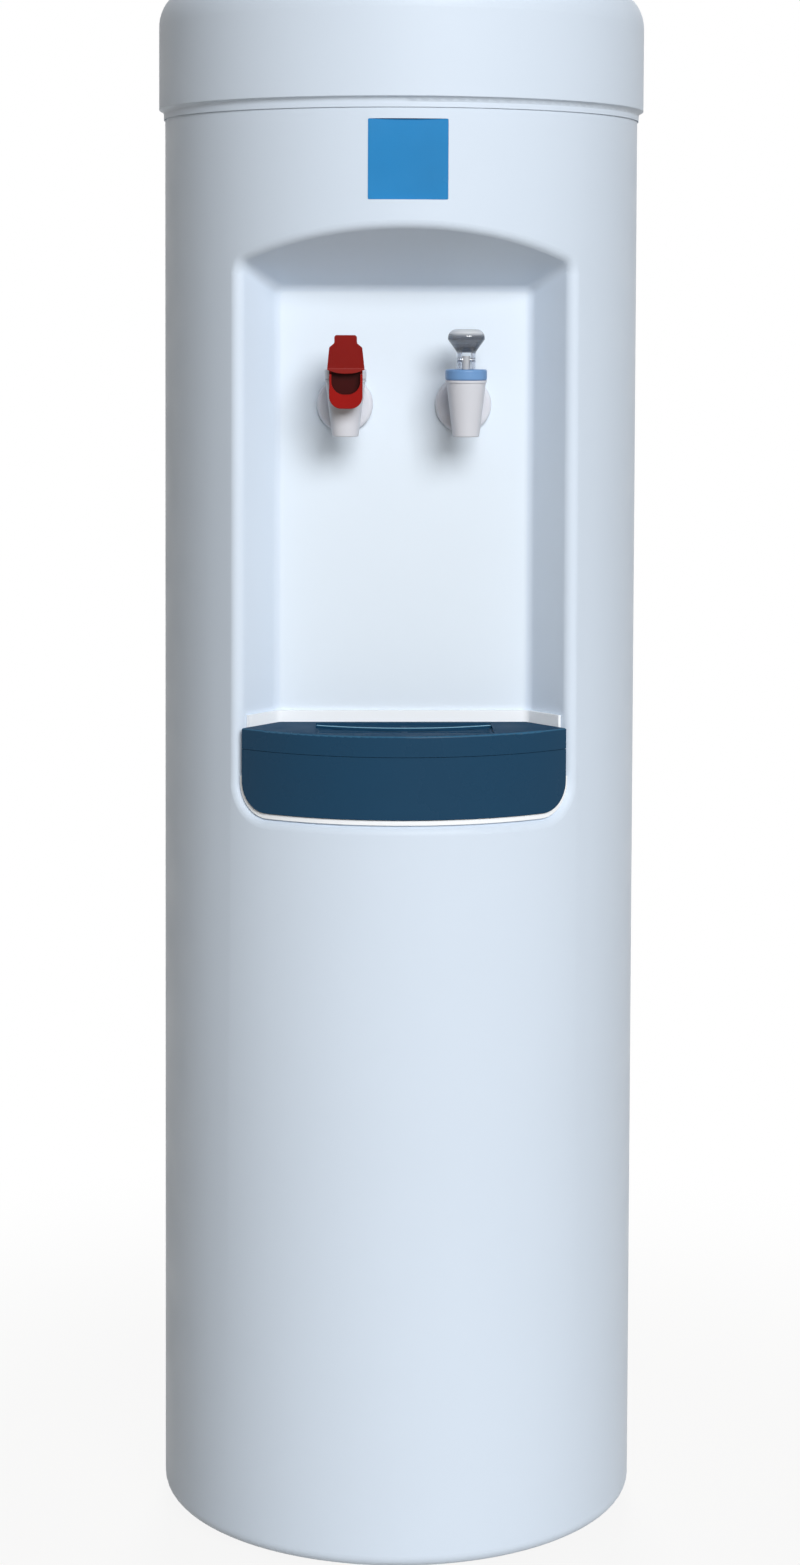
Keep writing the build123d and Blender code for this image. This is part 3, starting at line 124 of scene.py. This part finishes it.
def finish(name, colour, rough, mottle, mottle_scale, grain=1400.0, depth=0.00002, stretch=None,
           **sockets):
    """Surface with cloudy colour, uneven gloss and a fine grain, depth metres deep."""
    material = bpy.data.materials.new(name)
    tree, shader, _ = node_tree(material)
    dark = [c * (1.0 - mottle) for c in colour]
    light = [min(1.0, c * (1.0 + mottle)) for c in colour]
    cloud = noise(tree, mottle_scale, MOTTLE_DETAIL, stretch)
    tree.links.new(ramp(tree, cloud, dark, light), shader.inputs["Base Color"])
    gloss = noise(tree, GLOSS_SCALE, GLOSS_DETAIL, stretch)
    tree.links.new(spread(tree, gloss, rough * (1.0 - GLOSS_SPREAD), rough * (1.0 + GLOSS_SPREAD)),
                   shader.inputs["Roughness"])
    bump = tree.nodes.new("ShaderNodeBump")
    bump.inputs["Strength"].default_value = GRAIN_STRENGTH
    bump.inputs["Distance"].default_value = depth
    tree.links.new(noise(tree, grain, GRAIN_DETAIL, stretch), bump.inputs["Height"])
    tree.links.new(bump.outputs["Normal"], shader.inputs["Normal"])
    for socket, value in sockets.items():
        shader.inputs[socket.replace("_", " ")].default_value = value
    material.diffuse_color = (*colour, 1.0)
    return material


# Noise drawn out along the height, as brushing leaves it
BRUSHED = (1.0, 1.0, 0.04)
WHITE = (1.0, 1.0, 1.0)
SHELL_WHITE = (0.656, 0.746, 0.858)
SHELL_SURFACE = dict(rough=0.42, mottle=0.012, mottle_scale=5.0, grain=900.0, depth=0.00003,
                     Specular_IOR_Level=0.16)

# Surface of each material slot
SURFACES = {
    "white_plastic": dict(colour=SHELL_WHITE, **SHELL_SURFACE),
    "badge_blue": dict(colour=(0.014, 0.212, 0.502), rough=0.26, mottle=0.04, mottle_scale=26.0,
                       Specular_IOR_Level=0.2),
    "hot_red": dict(colour=(0.225, 0.010, 0.007), rough=0.36, mottle=0.05, mottle_scale=40.0,
                    Specular_IOR_Level=0.12),
    "cold_blue": dict(colour=(0.150, 0.300, 0.560), rough=0.30, mottle=0.05, mottle_scale=40.0,
                      Specular_IOR_Level=0.3),
    "grey_plastic": dict(colour=(0.42, 0.43, 0.45), rough=0.45, mottle=0.05, mottle_scale=60.0),
    "silicone": dict(colour=(0.70, 0.72, 0.73), rough=0.55, mottle=0.04, mottle_scale=40.0),
    "black_rubber": dict(colour=(0.028, 0.028, 0.030), rough=0.75, mottle=0.18, mottle_scale=60.0,
                         grain=700.0, depth=0.00008),
    "black_plastic": dict(colour=(0.030, 0.030, 0.033), rough=0.48, mottle=0.12, mottle_scale=60.0,
                          grain=900.0, depth=0.00006),
    "blue_cap": dict(colour=(0.045, 0.14, 0.34), rough=0.42, mottle=0.06, mottle_scale=60.0),
    "foam": dict(colour=(0.80, 0.79, 0.74), rough=0.90, mottle=0.08, mottle_scale=70.0,
                 grain=260.0, depth=0.0008),
    "stainless": dict(colour=(0.60, 0.60, 0.60), rough=0.28, mottle=0.06, mottle_scale=90.0,
                      grain=1600.0, stretch=BRUSHED, Metallic=1.0),
    "zinc_steel": dict(colour=(0.56, 0.57, 0.58), rough=0.38, mottle=0.12, mottle_scale=60.0,
                       grain=900.0, Metallic=1.0),
    "grey_panel": dict(colour=(0.50, 0.52, 0.54), rough=0.46, mottle=0.03, mottle_scale=10.0,
                       grain=420.0, depth=0.00010),
    "black_metal": dict(colour=(0.020, 0.020, 0.022), rough=0.40, mottle=0.15, mottle_scale=30.0,
                        grain=500.0, depth=0.00008),
    "copper": dict(colour=(0.66, 0.30, 0.17), rough=0.34, mottle=0.22, mottle_scale=24.0,
                   grain=900.0, Metallic=1.0),
}
FINISHES = {slot: finish(slot, **surface) for slot, surface in SURFACES.items()}


def shader_of(material):
    """The Principled shader of a finish."""
    return next(n for n in material.node_tree.nodes if n.type == "BSDF_PRINCIPLED")


def multiply(tree, socket, other, kind):
    """Multiplies what feeds a shader's socket by another value or colour, with a node of that kind."""
    node = tree.nodes.new(kind)
    node.operation = "MULTIPLY"
    tree.links.new(socket.links[0].from_socket, node.inputs[0])
    tree.links.new(other, node.inputs[1])
    tree.links.new(node.outputs[0], socket)


def product(tree, values):
    """Numbers multiplied together."""
    total = values[0]
    for value in values[1:]:
        node = tree.nodes.new("ShaderNodeMath")
        node.operation = "MULTIPLY"
        tree.links.new(total, node.inputs[0])
        tree.links.new(value, node.inputs[1])
        total = node.outputs["Value"]
    return total


def coordinates(tree, kind):
    """X, Y and Z of the place (Object) or the way a face looks (Normal), in the part's own frame."""
    split = tree.nodes.new("ShaderNodeSeparateXYZ")
    tree.links.new(tree.nodes.new("ShaderNodeTexCoord").outputs[kind], split.inputs["Vector"])
    return split.outputs["X"], split.outputs["Y"], split.outputs["Z"]


def colour_stops(tree, value, stops):
    """Colour by a value, as (value, colour) from low to high."""
    bottom, top = stops[0][0], stops[-1][0]
    node = tree.nodes.new("ShaderNodeValToRGB")
    elements = node.color_ramp.elements
    while len(elements) < len(stops):
        elements.new(1.0)
    for element, (place, colour) in zip(elements, stops):
        element.position = (place - bottom) / (top - bottom)
        element.color = (*colour, 1.0)
    tree.links.new(spread(tree, value, 0.0, 1.0, bottom, top), node.inputs["Fac"])
    return node.outputs["Color"]


# Shell's colour as a share of the recess wall's, whose lighter colour is painted light, and the faces
# that count as that wall
WALL_PAINTED_LIGHT_SHARE = (0.925, 0.945, 0.980)
WALL_FACING = -0.95
WALL_DEPTH = 0.003


def shell_white_and_painted_light():
    """White plastic, with painted light making the flat back of the recess a little lighter."""
    painted_lit_wall_colour = [c / share for c, share in zip(SHELL_WHITE, WALL_PAINTED_LIGHT_SHARE)]
    material = finish("shell_white", painted_lit_wall_colour, **SHELL_SURFACE)
    tree = material.node_tree
    wall_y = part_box("tap_gaskets")[1][1]
    facing = spread(tree, coordinates(tree, "Normal")[1], 1.0, 0.0, -1.0, WALL_FACING)
    deep = spread(tree, coordinates(tree, "Object")[1], 0.0, 1.0, wall_y - WALL_DEPTH, wall_y)
    # Painted light: the recess's back wall keeps the lighter colour, and the rest of the shell is brought
    # down to plain white
    shade = ramp(tree, product(tree, [facing, deep]), WALL_PAINTED_LIGHT_SHARE, WHITE, 0.0, 1.0)
    multiply(tree, shader_of(material).inputs["Base Color"], shade, "ShaderNodeVectorMath")
    return material


# Clear lever: depth of the button and of its crown below the top, and what they let through; the crown's
# pale colour is a painted highlight
LEVER_CUP = 0.0145
LEVER_CROWN = 0.0036
LEVER_BLEND = 0.0012
LEVER_CLEAR, CROWN_CLOUDY = 0.9, 0.3
STEM_CLEAR = (0.72, 0.76, 0.83)
CUP_SMOKE = (0.10, 0.11, 0.132)
CROWN_PAINTED_HIGHLIGHT = (0.80, 0.83, 0.87)


def smoky_lever():
    """Clear plastic that is thick and dark in the button and light in the stem; the crown lets less
    through and is painted pale as a painted highlight.
    """
    material = finish("smoky_clear", WHITE, rough=0.10, mottle=0.02, mottle_scale=40.0, IOR=1.49)
    tree = material.node_tree
    low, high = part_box("cold_lever")
    cup, crown = high[2] - LEVER_CUP, high[2] - LEVER_CROWN
    # The pale colour at the crown is a painted highlight
    stops = [(low[2], STEM_CLEAR), (cup - LEVER_BLEND, STEM_CLEAR), (cup + LEVER_BLEND, CUP_SMOKE),
             (crown - LEVER_BLEND, CUP_SMOKE), (crown + LEVER_BLEND, CROWN_PAINTED_HIGHLIGHT)]
    height, shader = coordinates(tree, "Object")[2], shader_of(material)
    shade = colour_stops(tree, height, stops)
    multiply(tree, shader.inputs["Base Color"], shade, "ShaderNodeVectorMath")
    frosted = spread(tree, height, LEVER_CLEAR, CROWN_CLOUDY, crown - LEVER_BLEND, crown + LEVER_BLEND)
    tree.links.new(frosted, shader.inputs["Transmission Weight"])
    return material


# Tray: colour by how far a face looks up, from 0 on the front to 1 on top, with a painted highlight on
# the rounded edges between, and the top's roughness
TRAY_BLUE = (0.010, 0.050, 0.104)
TRAY_EDGE_PAINTED_HIGHLIGHT = (0.030, 0.115, 0.210)
TRAY_STOPS = ((0.0, TRAY_BLUE), (0.25, TRAY_BLUE), (0.5, TRAY_EDGE_PAINTED_HIGHLIGHT), (0.85, TRAY_EDGE_PAINTED_HIGHLIGHT), (0.97, TRAY_BLUE))
TOP_MATT = 2.7
TOP_START, TOP_END = 0.93, 0.99


def tray_blue_and_painted_highlight():
    """Dark blue plastic, glossy in front, with a painted highlight along the rounded edges, and matt on
    top.
    """
    material = finish("tray_blue", WHITE, rough=0.28, mottle=0.05, mottle_scale=12.0, grain=1100.0,
                      Specular_IOR_Level=0.12)
    material.diffuse_color = (*TRAY_BLUE, 1.0)
    tree, shader = material.node_tree, shader_of(material)
    up = coordinates(tree, "Normal")[2]
    # Painted highlight: faces between front and top, the rounded edges, are painted pale
    shade = colour_stops(tree, up, TRAY_STOPS)
    multiply(tree, shader.inputs["Base Color"], shade, "ShaderNodeVectorMath")
    matt = spread(tree, up, 1.0, TOP_MATT, TOP_START, TOP_END)
    multiply(tree, shader.inputs["Roughness"], matt, "ShaderNodeMath")
    return material


# Catch: size of its mouth, the depth over which the painted shade inside it darkens, and the share of
# colour that painted shade leaves
CATCH_RED = (0.285, 0.006, 0.004)
CATCH_MOUTH_WIDTH = 0.0179
CATCH_MOUTH_FLOOR = 0.0083
CATCH_DEEP = (0.0004, 0.0040)
CATCH_BLEND = 0.0001
CATCH_PAINTED_SHADE = 0.13


def catch_red_and_painted_shade():
    """Red plastic, with painted shade darkening the faces inside the catch's mouth."""
    material = finish("catch_red", CATCH_RED, rough=0.36, mottle=0.05, mottle_scale=40.0,
                      Specular_IOR_Level=0.08)
    tree = material.node_tree
    low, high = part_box("hot_catch")
    middle, half = (low[0] + high[0]) / 2, CATCH_MOUTH_WIDTH / 2
    x, y, z = coordinates(tree, "Object")

    def past(value, limit, way):
        """1 on the upper side of a limit, or on the lower side where way is -1."""
        return spread(tree, value, 0.0, 1.0, limit - way * CATCH_BLEND, limit + way * CATCH_BLEND)

    # Painted shade: faces inside the mouth darken with depth behind its front
    inside = product(tree, [
        spread(tree, y, 0.0, 1.0, low[1] + CATCH_DEEP[0], low[1] + CATCH_DEEP[1]),
        past(x, middle - half, 1),
        past(x, middle + half, -1),
        past(z, low[2] + CATCH_MOUTH_FLOOR, 1),
    ])
    shade = spread(tree, inside, 1.0, CATCH_PAINTED_SHADE, 0.0, 1.0)
    multiply(tree, shader_of(material).inputs["Base Color"], shade, "ShaderNodeVectorMath")
    return material


FINISHES["clear_plastic"] = smoky_lever()
FINISHES["tray_blue"] = tray_blue_and_painted_highlight()
TAP_WHITE = finish("tap_white", (0.63, 0.645, 0.70), rough=0.34, mottle=0.012, mottle_scale=20.0,
                   grain=900.0, depth=0.00003, Specular_IOR_Level=0.25)
LINER_WHITE = finish("liner_white", (0.90, 0.93, 0.96), rough=0.34, mottle=0.012, mottle_scale=12.0,
                     grain=900.0, depth=0.00003, Specular_IOR_Level=0.2)

# Nodes that differ from the finish of their slot
NODE_FINISHES = {
    "front_shell": shell_white_and_painted_light(),
    "hot_catch": catch_red_and_painted_shade(),
    "tray_cradle": LINER_WHITE,
    "hot_faucet_body": TAP_WHITE,
    "cold_faucet_body": TAP_WHITE,
    "hot_bonnet": TAP_WHITE,
    "tap_rosettes": TAP_WHITE,
}

# Every node gets one finish
for entry in frame["record"]["subparts"]:
    mesh = nodes[entry["node"]].data
    mesh.materials.clear()
    mesh.materials.append(NODE_FINISHES.get(entry["node"], FINISHES[entry["material_slot"]]))


# Painted marks on the back: a dial round the cold control, and on and off on the switch
MARK_RAISE = 0.00015
MARK_WELD = 1e-7
TICKS = 11
TICK_GAP = 0.0025
TICK_LENGTH = 0.0022
TICK_GROWTH = 0.0003
TICK_WIDTH = 0.0009
DIAL_SWEEP = math.radians(270.0)
ON_LENGTH = 0.0036
ON_WIDTH = 0.0008
OFF_INNER_RADIUS = 0.0012
OFF_OUTER_RADIUS = 0.0019
OFF_STEPS = 24
MARK_WHITE = finish("mark_white", (0.80, 0.80, 0.79), rough=0.50, mottle=0.03, mottle_scale=90.0)
MARK_GREY = finish("mark_grey", (0.070, 0.075, 0.085), rough=0.50, mottle=0.06, mottle_scale=90.0)


def bar(start, end, width):
    """Outline of a straight mark between two points of the back, as (x, z)."""
    (x0, z0), (x1, z1) = start, end
    length = math.hypot(x1 - x0, z1 - z0)
    side_x = -(z1 - z0) / length * width / 2
    side_z = (x1 - x0) / length * width / 2
    return [(x0 + side_x, z0 + side_z), (x1 + side_x, z1 + side_z),
            (x1 - side_x, z1 - side_z), (x0 - side_x, z0 - side_z)]


def ring_sector(centre, inner, outer, start, end):
    """Outline of a piece of a flat ring."""
    def at(radius, angle):
        return centre[0] + radius * math.cos(angle), centre[1] + radius * math.sin(angle)
    return [at(outer, start), at(outer, end), at(inner, end), at(inner, start)]


def add_piece(name, bm, material, body):
    """New piece with one finish, which moves with a body."""
    mesh = bpy.data.meshes.new(name)
    bm.to_mesh(mesh)
    bm.free()
    mesh.materials.append(material)
    piece = bpy.data.objects.new(name, mesh)
    scene.collection.objects.link(piece)
    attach(piece, body)


def back_marks(name, outlines, y, material, body):
    """Marks raised a little from a surface that faces the back."""
    bm = bmesh.new()
    for corners in outlines:
        bm.faces.new([bm.verts.new((x, y, z)) for x, z in corners])
    bmesh.ops.remove_doubles(bm, verts=bm.verts, dist=MARK_WELD)
    grown = bmesh.ops.extrude_face_region(bm, geom=bm.faces[:])
    moved = [v for v in grown["geom"] if isinstance(v, bmesh.types.BMVert)]
    bmesh.ops.translate(bm, verts=moved, vec=(0.0, MARK_RAISE, 0.0))
    bmesh.ops.recalc_face_normals(bm, faces=bm.faces)
    add_piece(name, bm, material, body)


def make_dial():
    """Ticks round the cold control, each a little longer than the one before."""
    low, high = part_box("thermostat_knob")
    centre_x, centre_z = (low[0] + high[0]) / 2, (low[2] + high[2]) / 2
    start = (high[0] - low[0]) / 2 + TICK_GAP
    ticks = []
    for i in range(TICKS):
        angle = math.pi / 2 + DIAL_SWEEP * (i / (TICKS - 1) - 0.5)
        end = start + TICK_LENGTH + TICK_GROWTH * i
        ends = [(centre_x + r * math.cos(angle), centre_z + r * math.sin(angle)) for r in (start, end)]
        ticks.append(bar(*ends, TICK_WIDTH))
    back_marks("dial_ticks", ticks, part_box("back_panel")[1][1], MARK_GREY, "cabinet")


def make_switch_marks():
    """Stroke for on and ring for off, on the two halves of the rocker."""
    low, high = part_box("hot_switch_rocker")
    middle = (low[0] + high[0]) / 2
    reach = (high[2] - low[2]) / 4
    on_z, off_z = (low[2] + high[2]) / 2 + reach, (low[2] + high[2]) / 2 - reach
    marks = [bar((middle, on_z - ON_LENGTH / 2), (middle, on_z + ON_LENGTH / 2), ON_WIDTH)]
    for i in range(OFF_STEPS):
        angles = (2 * math.pi * i / OFF_STEPS, 2 * math.pi * (i + 1) / OFF_STEPS)
        marks.append(ring_sector((middle, off_z), OFF_INNER_RADIUS, OFF_OUTER_RADIUS, *angles))
    back_marks("switch_marks", marks, high[1], MARK_WHITE, "rocker")


make_dial()
make_switch_marks()

# Round-topped bead along the rib that crosses the drip grille in an arc round the cabinet's axis,
# coloured pale blue as a painted highlight line
BEAD_RADIUS = 0.1189
BEAD_HALF_SPAN = math.radians(27.3)
BEAD_HALF_WIDTH = 0.0010
BEAD_RISE = 0.0004
BEAD_STEPS = 48
BEAD_ROUND_STEPS = 8
BEAD_PAINTED_HIGHLIGHT = finish("bead_blue", (0.17, 0.37, 0.51), rough=0.30, mottle=0.04, mottle_scale=30.0,
                   grain=1100.0, Specular_IOR_Level=0.3)


def make_bead():
    """Bead with a round top and a flat foot, closed at both ends."""
    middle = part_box("drip_grille")[1][2] + BEAD_RISE - BEAD_HALF_WIDTH
    turns = [math.pi * i / BEAD_ROUND_STEPS for i in range(BEAD_ROUND_STEPS + 1)]
    profile = [(BEAD_HALF_WIDTH * math.cos(a), middle + BEAD_HALF_WIDTH * math.sin(a)) for a in turns]
    bm = bmesh.new()
    sections = []
    for i in range(BEAD_STEPS + 1):
        angle = BEAD_HALF_SPAN * (2 * i / BEAD_STEPS - 1)
        sections.append([bm.verts.new(((BEAD_RADIUS + r) * math.sin(angle),
                                       -(BEAD_RADIUS + r) * math.cos(angle), z)) for r, z in profile])
    count = len(profile)
    for here, after in zip(sections, sections[1:]):
        for i in range(count):
            j = (i + 1) % count
            bm.faces.new((here[i], here[j], after[j], after[i]))
    bm.faces.new(sections[0])
    bm.faces.new(sections[-1])
    bmesh.ops.recalc_face_normals(bm, faces=bm.faces)
    # The bead's pale colour is a painted highlight
    add_piece("grille_bead", bm, BEAD_PAINTED_HIGHLIGHT, "grille")


make_bead()


def make_spring(tap):
    """Valve spring copied from the rigid one, in place of it, and fixed to the cabinet."""
    node, joint = nodes[f"{tap}_spring"], f"{tap}_stem_lift"
    coil = bpy.data.objects.new(f"{tap}_spring_coil", node.data.copy())
    scene.collection.objects.link(coil)
    coil.matrix_world = node.matrix_world
    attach(coil, "cabinet")
    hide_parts(node.name)
    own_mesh(coil)


make_spring("hot")
make_spring("cold")

# Floor: pale near the object, where it takes the shadow, and white further off
FLOOR_RADIUS = 9.0
FLOOR_SEGMENTS = 96
FLOOR_COLOUR = (0.36, 0.34, 0.31)
FLOOR_ROUGH = 0.7
SHADOW_START = 0.25
SHADOW_END = 0.80
FLOOR_WHITE = 0.90


def background_rays(tree):
    """1 for rays that see the surroundings directly, in a mirror or through glass."""
    path = tree.nodes.new("ShaderNodeLightPath")
    total = path.outputs["Is Camera Ray"]
    for name in ("Is Glossy Ray", "Is Transmission Ray"):
        either = tree.nodes.new("ShaderNodeMath")
        either.operation = "MAXIMUM"
        tree.links.new(total, either.inputs[0])
        tree.links.new(path.outputs[name], either.inputs[1])
        total = either.outputs["Value"]
    return total


def blend(tree, share, first, second, output):
    """Sends a mix of two shaders to an output: the first at a share of 0, the second at 1."""
    mix = tree.nodes.new("ShaderNodeMixShader")
    tree.links.new(share, mix.inputs["Fac"])
    tree.links.new(first.outputs[0], mix.inputs[1])
    tree.links.new(second.outputs[0], mix.inputs[2])
    tree.links.new(mix.outputs["Shader"], output.inputs["Surface"])


def make_floor():
    """Disc that takes light and shadow, and looks white away from the object."""
    mesh = bpy.data.meshes.new("floor")
    bm = bmesh.new()
    bmesh.ops.create_circle(bm, cap_ends=True, segments=FLOOR_SEGMENTS, radius=FLOOR_RADIUS)
    bm.to_mesh(mesh)
    bm.free()
    floor = bpy.data.objects.new("floor", mesh)
    scene.collection.objects.link(floor)
    material = bpy.data.materials.new("floor")
    tree, shader, output = node_tree(material)
    shader.inputs["Base Color"].default_value = (*FLOOR_COLOUR, 1.0)
    shader.inputs["Roughness"].default_value = FLOOR_ROUGH
    white = tree.nodes.new("ShaderNodeEmission")
    place = tree.nodes.new("ShaderNodeTexCoord")
    length = tree.nodes.new("ShaderNodeVectorMath")
    length.operation = "LENGTH"
    tree.links.new(place.outputs["Object"], length.inputs[0])
    fade = spread(tree, length.outputs["Value"], FLOOR_WHITE, 1.0, SHADOW_START, SHADOW_END)
    fade.node.interpolation_type = "SMOOTHSTEP"
    blend(tree, product(tree, [fade, background_rays(tree)]), shader, white, output)
    mesh.materials.append(material)


make_floor()

# Light: a faint warm world and three lamps, as (place, aim, width, height, watts, colour)
WORLD_LIGHT = 0.05
WORLD_COLOUR = (1.0, 0.91, 0.80)
LAMPS = {
    "key": ((2.97, -11.60, 6.10), (0.0, 0.0, 0.6), 7.5, 5.3, 1752.0, WHITE),
    "fill": ((-3.2, -0.6, 1.4), (0.0, 0.0, 0.5), 1.6, 1.6, 2.5, (1.0, 0.86, 0.70)),
    "back": ((0.2, 4.6, 2.2), (0.0, 0.0, 0.5), 1.6, 1.6, 150.0, WHITE),
}


def make_world():
    """World that looks white and gives little light."""
    world = bpy.data.worlds.new("studio")
    scene.world = world
    world.use_nodes = True
    tree = world.node_tree
    tree.nodes.clear()
    output = tree.nodes.new("ShaderNodeOutputWorld")
    soft = tree.nodes.new("ShaderNodeBackground")
    soft.inputs["Color"].default_value = (*WORLD_COLOUR, 1.0)
    soft.inputs["Strength"].default_value = WORLD_LIGHT
    white = tree.nodes.new("ShaderNodeBackground")
    white.inputs["Color"].default_value = (*WHITE, 1.0)
    white.inputs["Strength"].default_value = 1.0
    blend(tree, background_rays(tree), soft, white, output)


def softbox(name, place, aim, width, height, power, colour):
    """Area lamp at a place, turned to a point."""
    lamp = bpy.data.lights.new(name, "AREA")
    lamp.shape = "RECTANGLE"
    lamp.size = width
    lamp.size_y = height
    lamp.energy = power
    lamp.color = colour
    lamp_object = bpy.data.objects.new(name, lamp)
    scene.collection.objects.link(lamp_object)
    lamp_object.location = place
    lamp_object.visible_camera = False
    lamp_object.rotation_euler = (Vector(aim) - Vector(place)).to_track_quat("-Z", "Y").to_euler()


make_world()
for lamp_name, lamp_values in LAMPS.items():
    softbox(lamp_name, *lamp_values)


def make_camera():
    """Camera at the photograph's place."""
    camera = bpy.data.cameras.new("camera")
    camera.sensor_width = SENSOR
    camera.lens = FOCAL_PIXELS / IMAGE_HEIGHT * SENSOR
    camera.shift_y = (PRINCIPAL_ROW - IMAGE_HEIGHT / 2) / IMAGE_HEIGHT
    camera.dof.use_dof = False
    eye = bpy.data.objects.new("camera", camera)
    scene.collection.objects.link(eye)
    turn = Matrix.Rotation(CAMERA_AZIMUTH, 4, "Z")
    place = turn @ Vector((0.0, -CAMERA_DISTANCE, CAMERA_HEIGHT))
    look = Matrix.Rotation(math.pi / 2 - CAMERA_TILT, 4, "X")
    roll = Matrix.Rotation(CAMERA_ROLL, 4, "Z")
    eye.matrix_world = Matrix.Translation(place) @ turn @ look @ roll
    scene.camera = eye


make_camera()
scene.view_settings.view_transform = "Standard"
